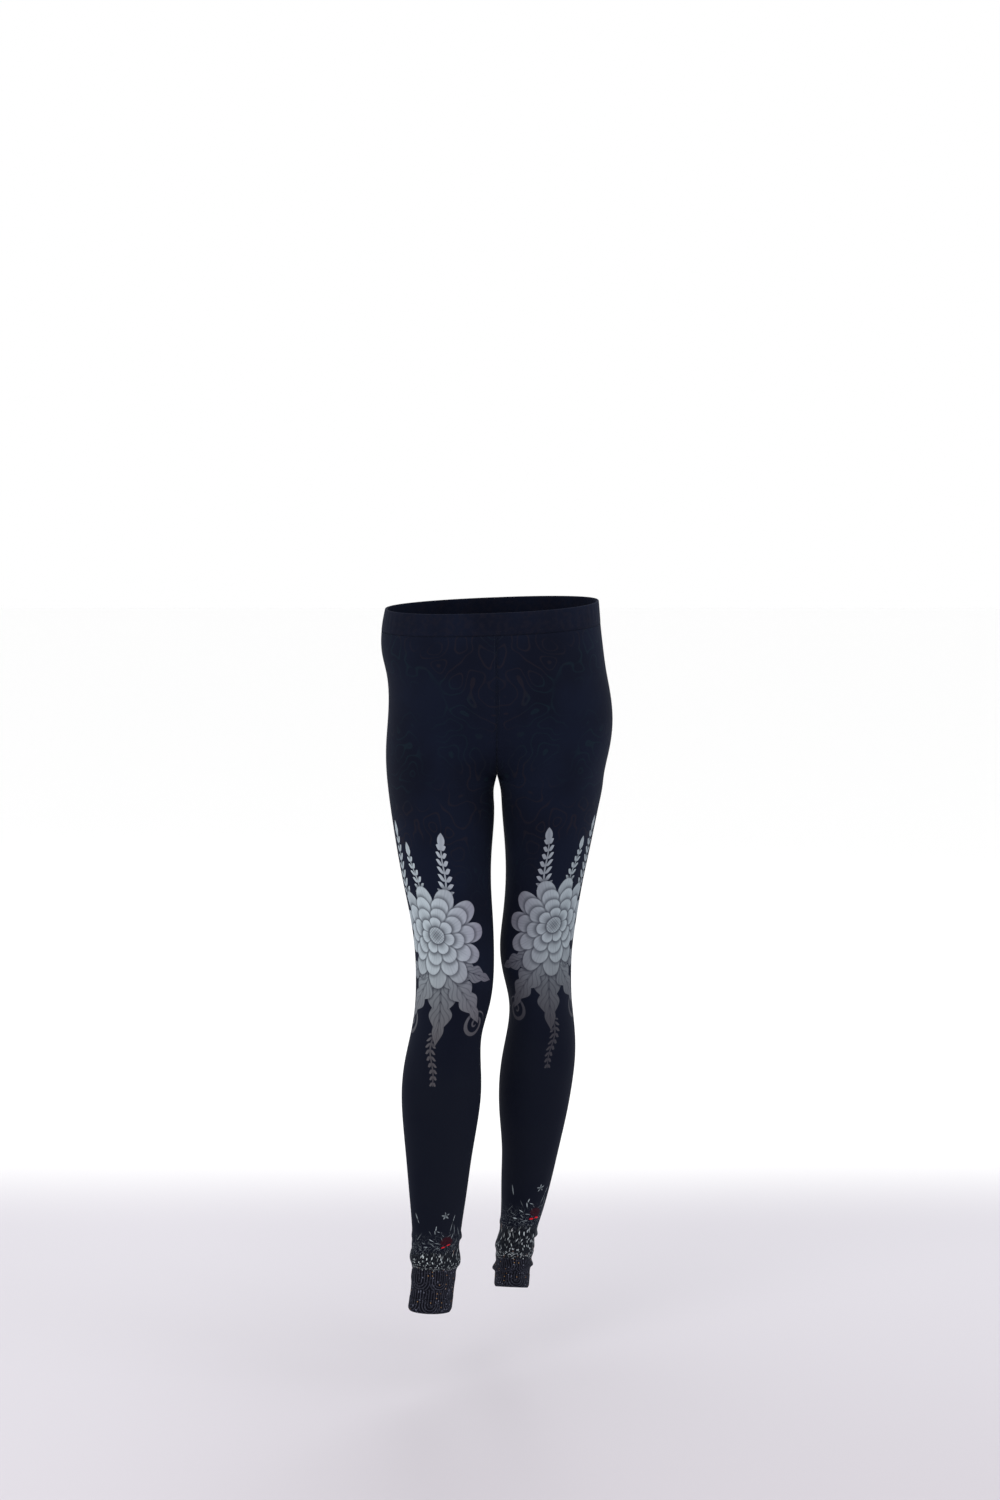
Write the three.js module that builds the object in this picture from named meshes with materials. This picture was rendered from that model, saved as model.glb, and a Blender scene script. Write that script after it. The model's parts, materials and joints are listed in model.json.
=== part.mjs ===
// Full-length leggings in stretch jersey, standing open as worn: a flat elastic waistband, two one-piece legs
// that meet at the centre seam, gathered folds above each ankle, and a turned hem round each ankle opening.
// Millimetres. +Z is up, -Y is the front and +X is the wearer's left. The origin is the middle of the waist
// opening, where the wearer holds the garment up.
import * as THREE from "three";

// Cloth
const LEG_WALL = 1.2;
const BAND_WALL = 3; // two layers of jersey with a flat elastic between them
const HEM_WALL = 2.2; // the jersey turned up double
const SEAM_GAP = 0.3;

// Heights, measured down from the waist's top edge
const BAND_HEIGHT = 30;
const HEM_HEIGHT = 20;
const CROTCH_DOWN = 235;
const MERGE_HEIGHT = 120; // above the crotch the two leg tubes open into one trunk over this height
const CROTCH_BACK = 14; // how far behind the origin the crotch point lies
const TRUNK_FULLNESS = 2.2; // 2 is an ellipse, more is squarer
const BAND_PROUD = 0.5;
const HEM_PROUD = 0.4;

// The waist line's slope across and from front to back
const WAIST = { across: 0.0395, back: 0.02, fadeDown: 170 };

// The trunk: its half widths to the wearer's right and left, and how far it reaches to the front and back
const TRUNK = table("down right left front back", [
  [0, 152, 138, 103, 99],
  [35, 157.5, 141, 106, 107],
  [65, 156.3, 144.6, 107, 115],
  [90, 151, 148.2, 106.5, 122],
  [120, 148, 154, 104.5, 129],
  [155, 149, 157.8, 100.5, 131.5],
  [195, 151.8, 154.2, 94.5, 124],
  [235, 151, 146.2, 89, 106],
]);

// Each leg below the crotch: its outer and inner outline from the centre plane, its front and back, and how
// far the section turns outwards with the foot
const RIGHT_LEG = table("down outer inner front back turn", [
  [248, 149.8, 3.6, 89.5, 100, 0],
  [275, 146.4, 4, 91, 86, 0],
  [330, 137, 7, 95.5, 65, 0],
  [380, 127.2, 8.2, 99.3, 48.5, 0],
  [430, 117, 5.4, 102, 33.5, 0],
  [475, 111.5, 4, 104, 19.5, 0],
  [510, 110.6, 5, 105, 11, 0],
  [545, 112, 10.5, 104, 5.5, 0.03],
  [580, 117.5, 19.8, 103, 3, 0.06],
  [620, 126, 22.3, 103.5, 7.5, 0.1],
  [665, 130.4, 21.7, 104, 10, 0.14],
  [710, 128.3, 26.8, 104, 4, 0.18],
  [760, 123.6, 35.3, 104, -8, 0.24],
  [810, 119.2, 42.4, 104, -20, 0.31],
  [860, 115.8, 50.2, 104, -32, 0.38],
  [905, 116.4, 56, 105, -39, 0.42],
  [935, 118, 59.2, 106, -41.5, 0.43],
  [962, 121.5, 62.4, 108, -43.5, 0.43],
]);
const LEFT_LEG = table("down outer inner front back turn", [
  [248, 144.7, 3.4, 86.5, 103, 0],
  [275, 139.6, 6.3, 81, 95, 0],
  [330, 128.2, 10.6, 75, 89, 0],
  [380, 117.8, 11.7, 71.2, 83, 0],
  [430, 109.2, 7.7, 67.5, 74, 0],
  [475, 103.2, 4, 65.5, 66, 0],
  [510, 101.9, 8.6, 63.5, 62, 0],
  [545, 103, 15.9, 58.5, 61, 0],
  [580, 106.5, 15.4, 53, 63, 0],
  [620, 108.4, 8.4, 48, 70, 0],
  [665, 104.6, 2.9, 45, 76.5, 0],
  [710, 97.2, 3, 38, 75.5, 0],
  [760, 86.6, 6.4, 27.5, 73.5, 0],
  [810, 75.6, 5.8, 17, 73, 0],
  [860, 62.6, 5.2, 7, 73, 0],
  [905, 50, 1.5, 0, 76, 0],
  [945, 46, -2.5, -4, 80, 0],
  [975, 44, -4.6, -7, 83, 0],
]);

// Gathered folds at the ankles. up: height above the hem's edge; tall: half height; out: bulge; sag: how far
// the crest hangs; at: where round the ankle it is strongest, in degrees from the inner side by way of the
// front; uneven: how much weaker it is on the far side; climb: how much higher it runs where it is strongest
const RIGHT_FOLDS = table("up tall out sag at uneven climb", [
  [76, 10.5, 4.4, 5, 20, 0.15, -4],
  [99, 4.5, 2.4, 1.5, 20, 0.7, 3],
  [111, 5, 1.2, 0.8, 210, 0.9, -5],
  [47, 6, 1.1, 0.8, 250, 0.6, 4],
]);
const LEFT_FOLDS = table("up tall out sag at uneven climb", [
  [80, 4.5, 3, 1.6, 175, 0.8, 2],
  [64, 10, 4.4, 2.5, 15, 0.35, 2],
  [50, 7, 1.8, 1, 330, 0.35, -2],
  [34, 5, 4.8, 2.4, 10, 0.2, -3.5],
  [95, 5, 1.2, 0.8, 40, 0.9, 5],
]);

// The hems aren't level: the slopes of the front half, the back half and across fade out up the shank
const HEM_SLOPE_HEIGHT = 170;
const SIDES = {
  right: {
    sign: -1,
    leg: RIGHT_LEG,
    folds: RIGHT_FOLDS,
    bottom: 965.5,
    slopeFront: -0.14,
    slopeBack: 0,
    slopeOut: 0.12,
  },
  left: {
    sign: 1,
    leg: LEFT_LEG,
    folds: LEFT_FOLDS,
    bottom: 971,
    slopeFront: -0.31,
    slopeBack: -0.12,
    slopeOut: -0.047,
  },
};

// How finely the walls are divided
const COLUMNS = 32;
const TRUNK_STEP = 26;
const MERGE_ROWS = 7;
const LEG_STEP = 32;
const GATHER_HEIGHT = 112;
const GATHER_STEP = 5;

const JERSEY = new THREE.MeshStandardMaterial({ color: 0x151b27, roughness: 0.85, metalness: 0 });
const KNIT_PRINT = new THREE.MeshStandardMaterial({ color: 0x2a2c33, roughness: 0.85, metalness: 0 });

function table(names, rows) {
  const keys = names.split(" ");
  return rows.map((row) => Object.fromEntries(keys.map((key, i) => [key, row[i]])));
}

// A smooth curve through a table's column: a natural cubic spline over the "down" column.
function column(rows, key) {
  const x = rows.map((row) => row.down);
  const y = rows.map((row) => row[key]);
  const last = x.length - 1;
  const bend = new Array(x.length).fill(0);
  const share = new Array(x.length).fill(0);
  for (let i = 1; i < last; i++) {
    const before = x[i] - x[i - 1];
    const after = x[i + 1] - x[i];
    const pivot = 2 * (before + after) - before * share[i - 1];
    const turn = 6 * ((y[i + 1] - y[i]) / after - (y[i] - y[i - 1]) / before);
    share[i] = after / pivot;
    bend[i] = (turn - before * bend[i - 1]) / pivot;
  }
  for (let i = last - 1; i > 0; i--) bend[i] -= share[i] * bend[i + 1];
  return (down) => {
    let i = 0;
    while (i < last - 1 && down > x[i + 1]) i++;
    const h = x[i + 1] - x[i];
    const a = Math.max(0, Math.min(1, (x[i + 1] - down) / h));
    const b = 1 - a;
    return a * y[i] + b * y[i + 1] + ((a ** 3 - a) * bend[i] + (b ** 3 - b) * bend[i + 1]) * (h * h) / 6;
  };
}

const smooth = (t) => {
  const s = Math.max(0, Math.min(1, t));
  return s * s * (3 - 2 * s);
};
const signedPower = (value, power) => Math.sign(value) * Math.abs(value) ** power;

// One side of the form: a function that gives the cloth's outer point at a share of the way round (0 at the
// inner or front seam, by way of the front and the outer side, to 1) and a distance down from the waist.
function sideForm({ sign, leg, folds, bottom, slopeFront, slopeBack, slopeOut }) {
  const width = sign < 0 ? "right" : "left";
  const whole = TRUNK.map((row) => ({ ...row, outer: row[width], inner: 0, turn: 0 })).concat(leg);
  const at = {};
  for (const key of ["outer", "inner", "front", "back", "turn"]) at[key] = column(whole, key);
  const centreFront = column(TRUNK, "front");
  const centreBack = column(TRUNK, "back");

  // Where the section is widest: the crotch point's own depth above the crotch, and mid depth down the leg.
  const widest = (down) => {
    const middle = (at.back(down) - at.front(down)) / 2;
    return THREE.MathUtils.lerp(CROTCH_BACK, middle, smooth((down - CROTCH_DOWN) / MERGE_HEIGHT));
  };
  // 0 on the closed leg tube, 1 where the trunk is one piece. By the seam it follows a quarter ellipse, which
  // rounds the crotch, and away from the seam it changes gently.
  const opening = (round, down) => {
    const t = Math.max(0, Math.min(1, (CROTCH_DOWN - down) / MERGE_HEIGHT));
    const nearSeam = Math.cos(Math.PI * round) ** 8;
    return THREE.MathUtils.lerp(smooth(t), Math.sqrt(1 - (1 - t) ** 2), nearSeam);
  };
  const tubePoint = (round, down) => {
    const angle = round * 2 * Math.PI;
    const inner = down > CROTCH_DOWN ? at.inner(down) : 0;
    const middle = (at.outer(down) + inner) / 2;
    const half = (at.outer(down) - inner) / 2;
    const side = widest(down);
    const reach = Math.sin(angle) > 0 ? at.front(down) + side : at.back(down) - side;
    const out = -half * Math.cos(angle);
    return [middle + out, side - reach * Math.sin(angle) - at.turn(down) * out];
  };
  const trunkPoint = (round, down) => {
    const angle = round * Math.PI;
    const power = 2 / TRUNK_FULLNESS;
    const side = CROTCH_BACK;
    const reach = Math.cos(angle) > 0 ? centreFront(down) + side : centreBack(down) - side;
    return [
      at.outer(down) * signedPower(Math.sin(angle), power),
      side - reach * signedPower(Math.cos(angle), power),
    ];
  };
  // The bulge and the sag of the ankle's folds at one place.
  const gather = (round, up) => {
    let out = 0;
    let sag = 0;
    for (const fold of folds) {
      const facing = Math.cos(round * 2 * Math.PI - THREE.MathUtils.degToRad(fold.at));
      const off = (up - fold.up - fold.climb * facing) / fold.tall;
      const share = Math.exp(-off * off) * (1 - fold.uneven * (1 - facing) / 2);
      out += fold.out * share;
      sag += fold.sag * share;
    }
    return { out, sag };
  };
  return (round, down, proud = 0) => {
    const w = opening(round, down);
    const [tubeX, tubeY] = tubePoint(round, down);
    const [trunkX, trunkY] = w > 0 ? trunkPoint(round, Math.min(down, CROTCH_DOWN)) : [tubeX, tubeY];
    let x = THREE.MathUtils.lerp(tubeX, trunkX, w);
    let y = THREE.MathUtils.lerp(tubeY, trunkY, w);
    const up = bottom - down;
    const { out, sag } = gather(round, up);
    const angle = THREE.MathUtils.lerp(2, 1, w) * round * Math.PI;
    const outwards = w > 0 ? [Math.sin(angle), -Math.cos(angle)] : [-Math.cos(angle), -Math.sin(angle)];
    x += (out + proud) * outwards[0];
    y += (out + proud) * outwards[1];
    x = down < CROTCH_DOWN ? Math.max(x, 0) : x;
    const tilt = 1 - smooth(up / HEM_SLOPE_HEIGHT);
    const lean = 1 - smooth(down / WAIST.fadeDown);
    const middle = (at.outer(down) + at.inner(down)) / 2;
    const behind = y - widest(down);
    const slope = behind < 0 ? slopeFront : slopeBack;
    const z =
      -down - sag + tilt * (slope * behind + slopeOut * (x - middle)) +
      lean * (WAIST.across * sign * x + WAIST.back * y);
    return new THREE.Vector3(sign * (x + SEAM_GAP / 2), y, z);
  };
}

const FORM = { right: sideForm(SIDES.right), left: sideForm(SIDES.left) };

// The rows of a leg panel, from under the band to above the hem: even down the trunk, close where the tubes
// part, even down the leg, and close again in the gathers.
function legRows(bottom) {
  const top = BAND_HEIGHT + SEAM_GAP;
  const mergeTop = CROTCH_DOWN - MERGE_HEIGHT;
  const gatherTop = bottom - GATHER_HEIGHT;
  const rows = [];
  const spread = (from, to, step) => {
    const count = Math.round((to - from) / step);
    for (let i = 0; i < count; i++) rows.push(from + ((to - from) * i) / count);
  };
  spread(top, mergeTop, TRUNK_STEP);
  for (let i = 0; i < MERGE_ROWS; i++) {
    rows.push(mergeTop + MERGE_HEIGHT * Math.sin((Math.PI / 2) * (i / MERGE_ROWS)));
  }
  spread(CROTCH_DOWN, gatherTop, LEG_STEP);
  spread(gatherTop, bottom - HEM_HEIGHT - SEAM_GAP, GATHER_STEP);
  rows.push(bottom - HEM_HEIGHT - SEAM_GAP);
  return rows;
}

// A cloth wall from a grid of outer points, rows from the top down. Rows from closedFrom on are rings, whose
// last column repeats the first; the rows above them are open at a front and a back edge. The first and last
// row end in flat rims, at the heights of rims, so that the pieces joined there stay apart all round.
function clothWall(grid, closedFrom, wall, faceOut, rims) {
  const lastRow = grid.length - 1;
  const lastColumn = grid[0].length - 1;
  const isRing = (r) => r >= closedFrom;
  const normalAt = (r, c) => {
    const wrap = isRing(r) && (c === 0 || c === lastColumn);
    const ahead = grid[r][wrap ? 1 : Math.min(c + 1, lastColumn)];
    const behind = grid[r][wrap ? lastColumn - 1 : Math.max(c - 1, 0)];
    const pointIn = (row) =>
      wrap ? grid[row][0].clone().add(grid[row][lastColumn]).divideScalar(2) : grid[row][c].clone();
    const along = ahead.clone().sub(behind);
    const downwards = pointIn(Math.min(r + 1, lastRow)).sub(pointIn(Math.max(r - 1, 0)));
    return downwards.cross(along).multiplyScalar(faceOut).normalize();
  };
  const position = [];
  const index = [];
  const outer = [];
  const inner = [];
  for (let r = 0; r <= lastRow; r++) {
    outer.push([]);
    inner.push([]);
    for (let c = 0; c <= lastColumn; c++) {
      const point = grid[r][c];
      outer[r].push(position.length / 3);
      position.push(point.x, point.y, point.z);
      const rim = r === 0 ? rims[0] : r === lastRow ? rims[1] : null;
      const normal = rim ? normalAt(r, c).setZ(0).normalize() : normalAt(r, c);
      const inside = point.clone().addScaledVector(normal, -wall);
      if (rim) inside.z = rim[c].z;
      if (!isRing(r) && (c === 0 || c === lastColumn)) inside.x = point.x;
      inner[r].push(position.length / 3);
      position.push(inside.x, inside.y, inside.z);
    }
  }
  const quad = (a, b, c, d) => {
    if (faceOut > 0) index.push(a, b, c, a, c, d);
    else index.push(a, c, b, a, d, c);
  };
  for (let r = 0; r < lastRow; r++) {
    for (let c = 0; c < lastColumn; c++) {
      quad(outer[r][c], outer[r + 1][c], outer[r + 1][c + 1], outer[r][c + 1]);
      quad(inner[r][c], inner[r][c + 1], inner[r + 1][c + 1], inner[r + 1][c]);
    }
    if (r < closedFrom) {
      quad(outer[r][0], inner[r][0], inner[r + 1][0], outer[r + 1][0]);
      quad(outer[r][lastColumn], outer[r + 1][lastColumn], inner[r + 1][lastColumn], inner[r][lastColumn]);
    }
  }
  for (let c = 0; c < lastColumn; c++) {
    quad(outer[0][c], outer[0][c + 1], inner[0][c + 1], inner[0][c]);
    quad(outer[lastRow][c], inner[lastRow][c], inner[lastRow][c + 1], outer[lastRow][c + 1]);
  }
  const geometry = new THREE.BufferGeometry();
  geometry.setAttribute("position", new THREE.Float32BufferAttribute(position, 3));
  geometry.setIndex(index);
  return geometry;
}

function legPanel(side) {
  const rows = legRows(SIDES[side].bottom);
  const grid = rows.map((down) =>
    Array.from({ length: COLUMNS + 1 }, (_, c) => FORM[side](c / COLUMNS, down)),
  );
  const closedFrom = rows.findIndex((down) => down >= CROTCH_DOWN);
  const rims = [rows[0], rows[rows.length - 1]].map((down) =>
    Array.from({ length: COLUMNS + 1 }, (_, c) => FORM[side](c / COLUMNS, down, -LEG_WALL)),
  );
  for (const row of [...grid.slice(closedFrom), rims[1]]) row[COLUMNS].copy(row[0]);
  return clothWall(grid, closedFrom, LEG_WALL, SIDES[side].sign, rims);
}

// The waistband is one ring: right side from the front to the back, then the left side from the back.
function waistband() {
  const ringAt = (down, proud) => {
    const half = (side) =>
      Array.from({ length: COLUMNS }, (_, c) => FORM[side]((c + 0.5) / COLUMNS, down, proud));
    const ring = [...half("right").reverse(), ...half("left")];
    return [...ring, ring[0].clone()];
  };
  const grid = [0, BAND_HEIGHT / 2, BAND_HEIGHT].map((down) => ringAt(down, BAND_PROUD));
  const rims = [0, BAND_HEIGHT].map((down) => ringAt(down, BAND_PROUD - BAND_WALL));
  return clothWall(grid, 0, BAND_WALL, 1, rims);
}

function hem(side) {
  const { bottom, sign } = SIDES[side];
  const rows = [1, 0.75, 0.5, 0.25, 0].map((share) => bottom - HEM_HEIGHT * share);
  const ringAt = (down, proud) => {
    const ring = Array.from({ length: COLUMNS }, (_, c) => FORM[side](c / COLUMNS, down, proud));
    return [...ring, ring[0].clone()];
  };
  const grid = rows.map((down) => ringAt(down, HEM_PROUD));
  const rims = [rows[0], bottom].map((down) => ringAt(down, HEM_PROUD - HEM_WALL));
  return clothWall(grid, 0, HEM_WALL, sign, rims);
}

function piece(name, geometry, material) {
  geometry.computeVertexNormals();
  const mesh = new THREE.Mesh(geometry, material);
  mesh.name = name;
  return mesh;
}

const leggings = new THREE.Group();
leggings.add(piece("waistband", waistband(), JERSEY));
for (const side of ["right", "left"]) {
  leggings.add(piece("leg_" + side, legPanel(side), JERSEY));
  leggings.add(piece("hem_" + side, hem(side), KNIT_PRINT));
}

export default leggings;
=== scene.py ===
import json
import math

import bpy
import numpy as np
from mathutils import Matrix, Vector

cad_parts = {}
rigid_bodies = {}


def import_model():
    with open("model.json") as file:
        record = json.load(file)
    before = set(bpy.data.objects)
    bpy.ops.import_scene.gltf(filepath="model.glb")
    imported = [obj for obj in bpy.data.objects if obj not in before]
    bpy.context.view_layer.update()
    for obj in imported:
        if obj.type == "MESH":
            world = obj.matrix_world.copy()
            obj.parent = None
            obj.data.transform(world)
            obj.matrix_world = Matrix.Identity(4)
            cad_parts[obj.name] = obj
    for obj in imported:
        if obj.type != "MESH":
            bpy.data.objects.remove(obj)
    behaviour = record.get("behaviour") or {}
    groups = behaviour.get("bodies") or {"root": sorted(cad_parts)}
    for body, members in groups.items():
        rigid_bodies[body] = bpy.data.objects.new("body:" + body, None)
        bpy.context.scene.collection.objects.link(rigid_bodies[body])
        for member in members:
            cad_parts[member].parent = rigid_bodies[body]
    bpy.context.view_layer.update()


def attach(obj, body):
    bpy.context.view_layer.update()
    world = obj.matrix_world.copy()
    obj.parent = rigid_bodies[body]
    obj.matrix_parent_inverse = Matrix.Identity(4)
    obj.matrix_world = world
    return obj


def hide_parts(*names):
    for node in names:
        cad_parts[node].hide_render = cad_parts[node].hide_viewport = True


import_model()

# Full-length leggings in stretch jersey, standing open as worn. Sizes are real ones in millimetres, and every
# mesh is made in metres. Heights are measured down from the waist's top edge, -Y is the front and +X is the
# wearer's left.
MM = 0.001
TAU = 2 * math.pi

# Cloth
LEG_WALL = 1.2
BAND_WALL = 3.0
HEM_WALL = 2.2
SEAM_GAP = 0.3
BAND_HEIGHT = 30.0
BAND_GIRTH = 800.0
HEM_HEIGHT = 20.0
CROTCH_DOWN = 235.0
CROTCH_BACK = 14.0
MERGE_HEIGHT = 120.0
TRUNK_FULLNESS = 2.2
BAND_PROUD = 0.15
HEM_PROUD = 0.4
FOLD_PULL = 1.5
FOLD_TALL = 2.6
PUCKERS = 31
PUCKER_DEEP = 0.22
PUCKER_WAVES = 5
PUCKER_DRIFT = 1.3
WAIST_ACROSS = 0.0395
WAIST_BACK = 0.02
WAIST_FADE = 170.0
HEM_SLOPE_HEIGHT = 170.0


def table(names, rows):
    """A table as one array for each named column."""
    return dict(zip(names.split(), np.array(rows, float).T))


def entries(names, rows):
    """A table as one set of named values for each row."""
    return [dict(zip(names.split(), row)) for row in rows]


TRUNK = table("down right left front back", [
    (0, 152, 138, 103, 99),
    (35, 157.5, 141, 106, 107),
    (65, 156.3, 144.6, 107, 115),
    (90, 151, 148.2, 106.5, 122),
    (120, 148, 154, 104.5, 129),
    (155, 149, 157.8, 100.5, 131.5),
    (195, 151.8, 154.2, 94.5, 124),
    (235, 151, 146.2, 89, 106),
])
RIGHT_LEG = table("down outer inner front back turn", [
    (248, 149.8, 3.6, 89.5, 100, 0),
    (275, 146.4, 4, 91, 86, 0),
    (330, 137, 7, 95.5, 65, 0),
    (380, 127.2, 8.2, 99.3, 48.5, 0),
    (430, 117, 5.4, 102, 33.5, 0),
    (475, 111.5, 4, 104, 19.5, 0),
    (510, 110.6, 5, 105, 11, 0),
    (545, 112, 10.5, 104, 5.5, 0.03),
    (580, 117.5, 19.8, 103, 3, 0.06),
    (620, 126, 22.3, 103.5, 7.5, 0.1),
    (665, 130.4, 21.7, 104, 10, 0.14),
    (710, 128.3, 26.8, 104, 4, 0.18),
    (760, 123.6, 35.3, 104, -8, 0.24),
    (810, 119.2, 42.4, 104, -20, 0.31),
    (860, 115.8, 50.2, 104, -32, 0.38),
    (905, 116.4, 56, 105, -39, 0.42),
    (935, 118, 59.2, 106, -41.5, 0.43),
    (962, 121.5, 62.4, 108, -43.5, 0.43),
])
LEFT_LEG = table("down outer inner front back turn", [
    (248, 144.7, 3.4, 86.5, 103, 0),
    (275, 139.6, 6.3, 81, 95, 0),
    (330, 128.2, 10.6, 75, 89, 0),
    (380, 117.8, 11.7, 71.2, 83, 0),
    (430, 109.2, 7.7, 67.5, 74, 0),
    (475, 103.2, 4, 65.5, 66, 0),
    (510, 101.9, 8.6, 63.5, 62, 0),
    (545, 103, 15.9, 58.5, 61, 0),
    (580, 106.5, 15.4, 53, 63, 0),
    (620, 108.4, 8.4, 48, 70, 0),
    (665, 104.6, 2.9, 45, 76.5, 0),
    (710, 97.2, 3, 38, 75.5, 0),
    (760, 86.6, 6.4, 27.5, 73.5, 0),
    (810, 75.6, 5.8, 17, 73, 0),
    (860, 62.6, 5.2, 7, 73, 0),
    (905, 50, 1.5, 0, 76, 0),
    (945, 46, -2.5, -4, 80, 0),
    (975, 44, -4.6, -7, 83, 0),
])

# Gathered folds at the ankles. up: height above the hem's edge; tall: half height; out: bulge; sag: how far
# the crest hangs; at: where round the ankle it is strongest, in degrees from the inner side by way of the
# front; uneven: how much weaker it is on the far side; climb: how much higher it runs where it is strongest
RIGHT_FOLDS = entries("up tall out sag at uneven climb", [
    (76, 10.5, 4.4, 5, 20, 0.15, -4),
    (99, 4.5, 2.4, 1.5, 20, 0.7, 3),
    (111, 5, 1.2, 0.8, 210, 0.9, -5),
    (47, 6, 1.1, 0.8, 250, 0.6, 4),
])
LEFT_FOLDS = entries("up tall out sag at uneven climb", [
    (80, 4.5, 3, 1.6, 175, 0.8, 2),
    (64, 10, 4.4, 2.5, 15, 0.35, 2),
    (50, 7, 1.8, 1, 330, 0.35, -2),
    (34, 5, 4.8, 2.4, 10, 0.2, -3.5),
    (95, 5, 1.2, 0.8, 40, 0.9, 5),
])

# Smaller creases, placed one by one. round: share of the way round from the inner or front seam; down:
# height;
# long, tall: half length round and half height; deep: trough below zero, ridge above; slant: how much it
# rises for each millimetre towards the outer side
RIGHT_CREASES = entries("round down long tall deep slant", [
    (0.060, 222, 26, 4.0, -1.1, 0.55),
    (0.080, 246, 30, 4.5, -0.9, 0.35),
    (0.050, 204, 18, 3.5, -0.7, 0.80),
    (0.110, 262, 24, 5.0, 0.6, 0.25),
    (0.930, 240, 40, 5.0, -1.4, -0.30),
    (0.880, 256, 44, 6.0, -1.0, -0.18),
    (0.820, 268, 34, 6.0, 0.7, -0.10),
    (0.760, 492, 34, 4.0, -1.5, 0.10),
    (0.720, 506, 30, 4.0, -1.1, -0.12),
    (0.800, 519, 38, 4.5, -1.6, 0.06),
    (0.740, 534, 26, 4.0, -0.9, -0.08),
    (0.780, 478, 24, 4.0, -0.8, 0.15),
    (0.160, 868, 18, 2.6, -0.9, 0.30),
    (0.420, 872, 22, 2.4, -0.8, -0.20),
    (0.300, 880, 26, 2.0, -1.0, 0.10),
    (0.620, 884, 24, 2.4, -1.0, 0.15),
    (0.860, 876, 20, 2.6, -0.9, -0.25),
    (0.240, 898, 20, 1.8, -0.8, -0.15),
    (0.520, 905, 24, 2.0, -1.0, 0.12),
    (0.780, 900, 22, 2.0, -0.9, -0.10),
    (0.350, 925, 16, 2.6, -0.5, 0.30),
    (0.700, 928, 18, 2.6, -0.6, -0.25),
])
LEFT_CREASES = entries("round down long tall deep slant", [
    (0.060, 224, 24, 4.0, -1.0, 0.60),
    (0.085, 244, 28, 4.5, -1.0, 0.30),
    (0.045, 206, 18, 3.5, -0.6, 0.85),
    (0.120, 258, 22, 5.0, 0.6, 0.20),
    (0.935, 242, 38, 5.0, -1.2, -0.34),
    (0.870, 252, 40, 6.0, -1.1, -0.15),
    (0.740, 496, 32, 4.0, -1.4, -0.08),
    (0.790, 510, 36, 4.2, -1.5, 0.10),
    (0.720, 524, 28, 4.0, -1.1, -0.14),
    (0.770, 541, 24, 4.0, -0.8, 0.08),
    (0.330, 880, 20, 2.2, -0.9, 0.15),
    (0.130, 886, 18, 2.4, -0.8, -0.30),
    (0.560, 893, 24, 2.0, -1.2, 0.12),
    (0.260, 899, 24, 1.8, -1.0, -0.18),
    (0.820, 894, 20, 2.2, -1.0, 0.20),
    (0.440, 912, 26, 2.0, -1.1, 0.10),
    (0.680, 915, 20, 2.0, -0.9, -0.12),
    (0.180, 922, 20, 1.8, -0.9, 0.14),
    (0.900, 924, 18, 2.0, -0.8, -0.15),
    (0.300, 938, 22, 1.6, -0.7, 0.08),
    (0.600, 940, 24, 1.8, -0.8, -0.06),
])

# How far up the flat cloth a height above the hem's edge lies: the gathers take up extra length
RIGHT_CLOTH = table("up cloth", [(0, 0), (64, 64), (88, 108), (106, 140), (150, 195), (965.5, 1010)])
LEFT_CLOTH = table("up cloth", [(0, 0), (46, 64), (99, 108), (124, 140), (170, 195), (971, 1010)])

RIGHT = dict(
    name="right", sign=-1, leg=RIGHT_LEG, folds=RIGHT_FOLDS, creases=RIGHT_CREASES, cloth=RIGHT_CLOTH,
    bottom=965.5, slope_front=-0.14, slope_back=0.0, slope_out=0.12,
)
LEFT = dict(
    name="left", sign=1, leg=LEFT_LEG, folds=LEFT_FOLDS, creases=LEFT_CREASES, cloth=LEFT_CLOTH,
    bottom=971.0, slope_front=-0.31, slope_back=-0.12, slope_out=-0.047,
)
SIDES = (RIGHT, LEFT)


def smooth(t):
    s = np.clip(t, 0, 1)
    return s * s * (3 - 2 * s)


def mix(a, b, t):
    return a + (b - a) * t


def unit(vectors):
    return vectors / np.maximum(np.linalg.norm(vectors, axis=-1, keepdims=True), 1e-9)


def closed(array, axis=0):
    """The array with its first row, or column, once more at its end."""
    return np.concatenate([array, array.take([0], axis)], axis)


def column(x, y):
    """A smooth curve through a table's column: a natural cubic spline."""
    last = len(x) - 1
    gap = np.diff(x)
    system = np.eye(last + 1)
    pull = np.zeros(last + 1)
    for i in range(1, last):
        system[i, i - 1:i + 2] = gap[i - 1], 2 * (gap[i - 1] + gap[i]), gap[i]
        pull[i] = 6 * ((y[i + 1] - y[i]) / gap[i] - (y[i] - y[i - 1]) / gap[i - 1])
    bend = np.linalg.solve(system, pull)

    def at(down):
        i = np.clip(np.searchsorted(x, down) - 1, 0, last - 1)
        h = gap[i]
        a = np.clip((x[i + 1] - down) / h, 0, 1)
        b = 1 - a
        return a * y[i] + b * y[i + 1] + ((a**3 - a) * bend[i] + (b**3 - b) * bend[i + 1]) * h * h / 6

    return at


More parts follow.
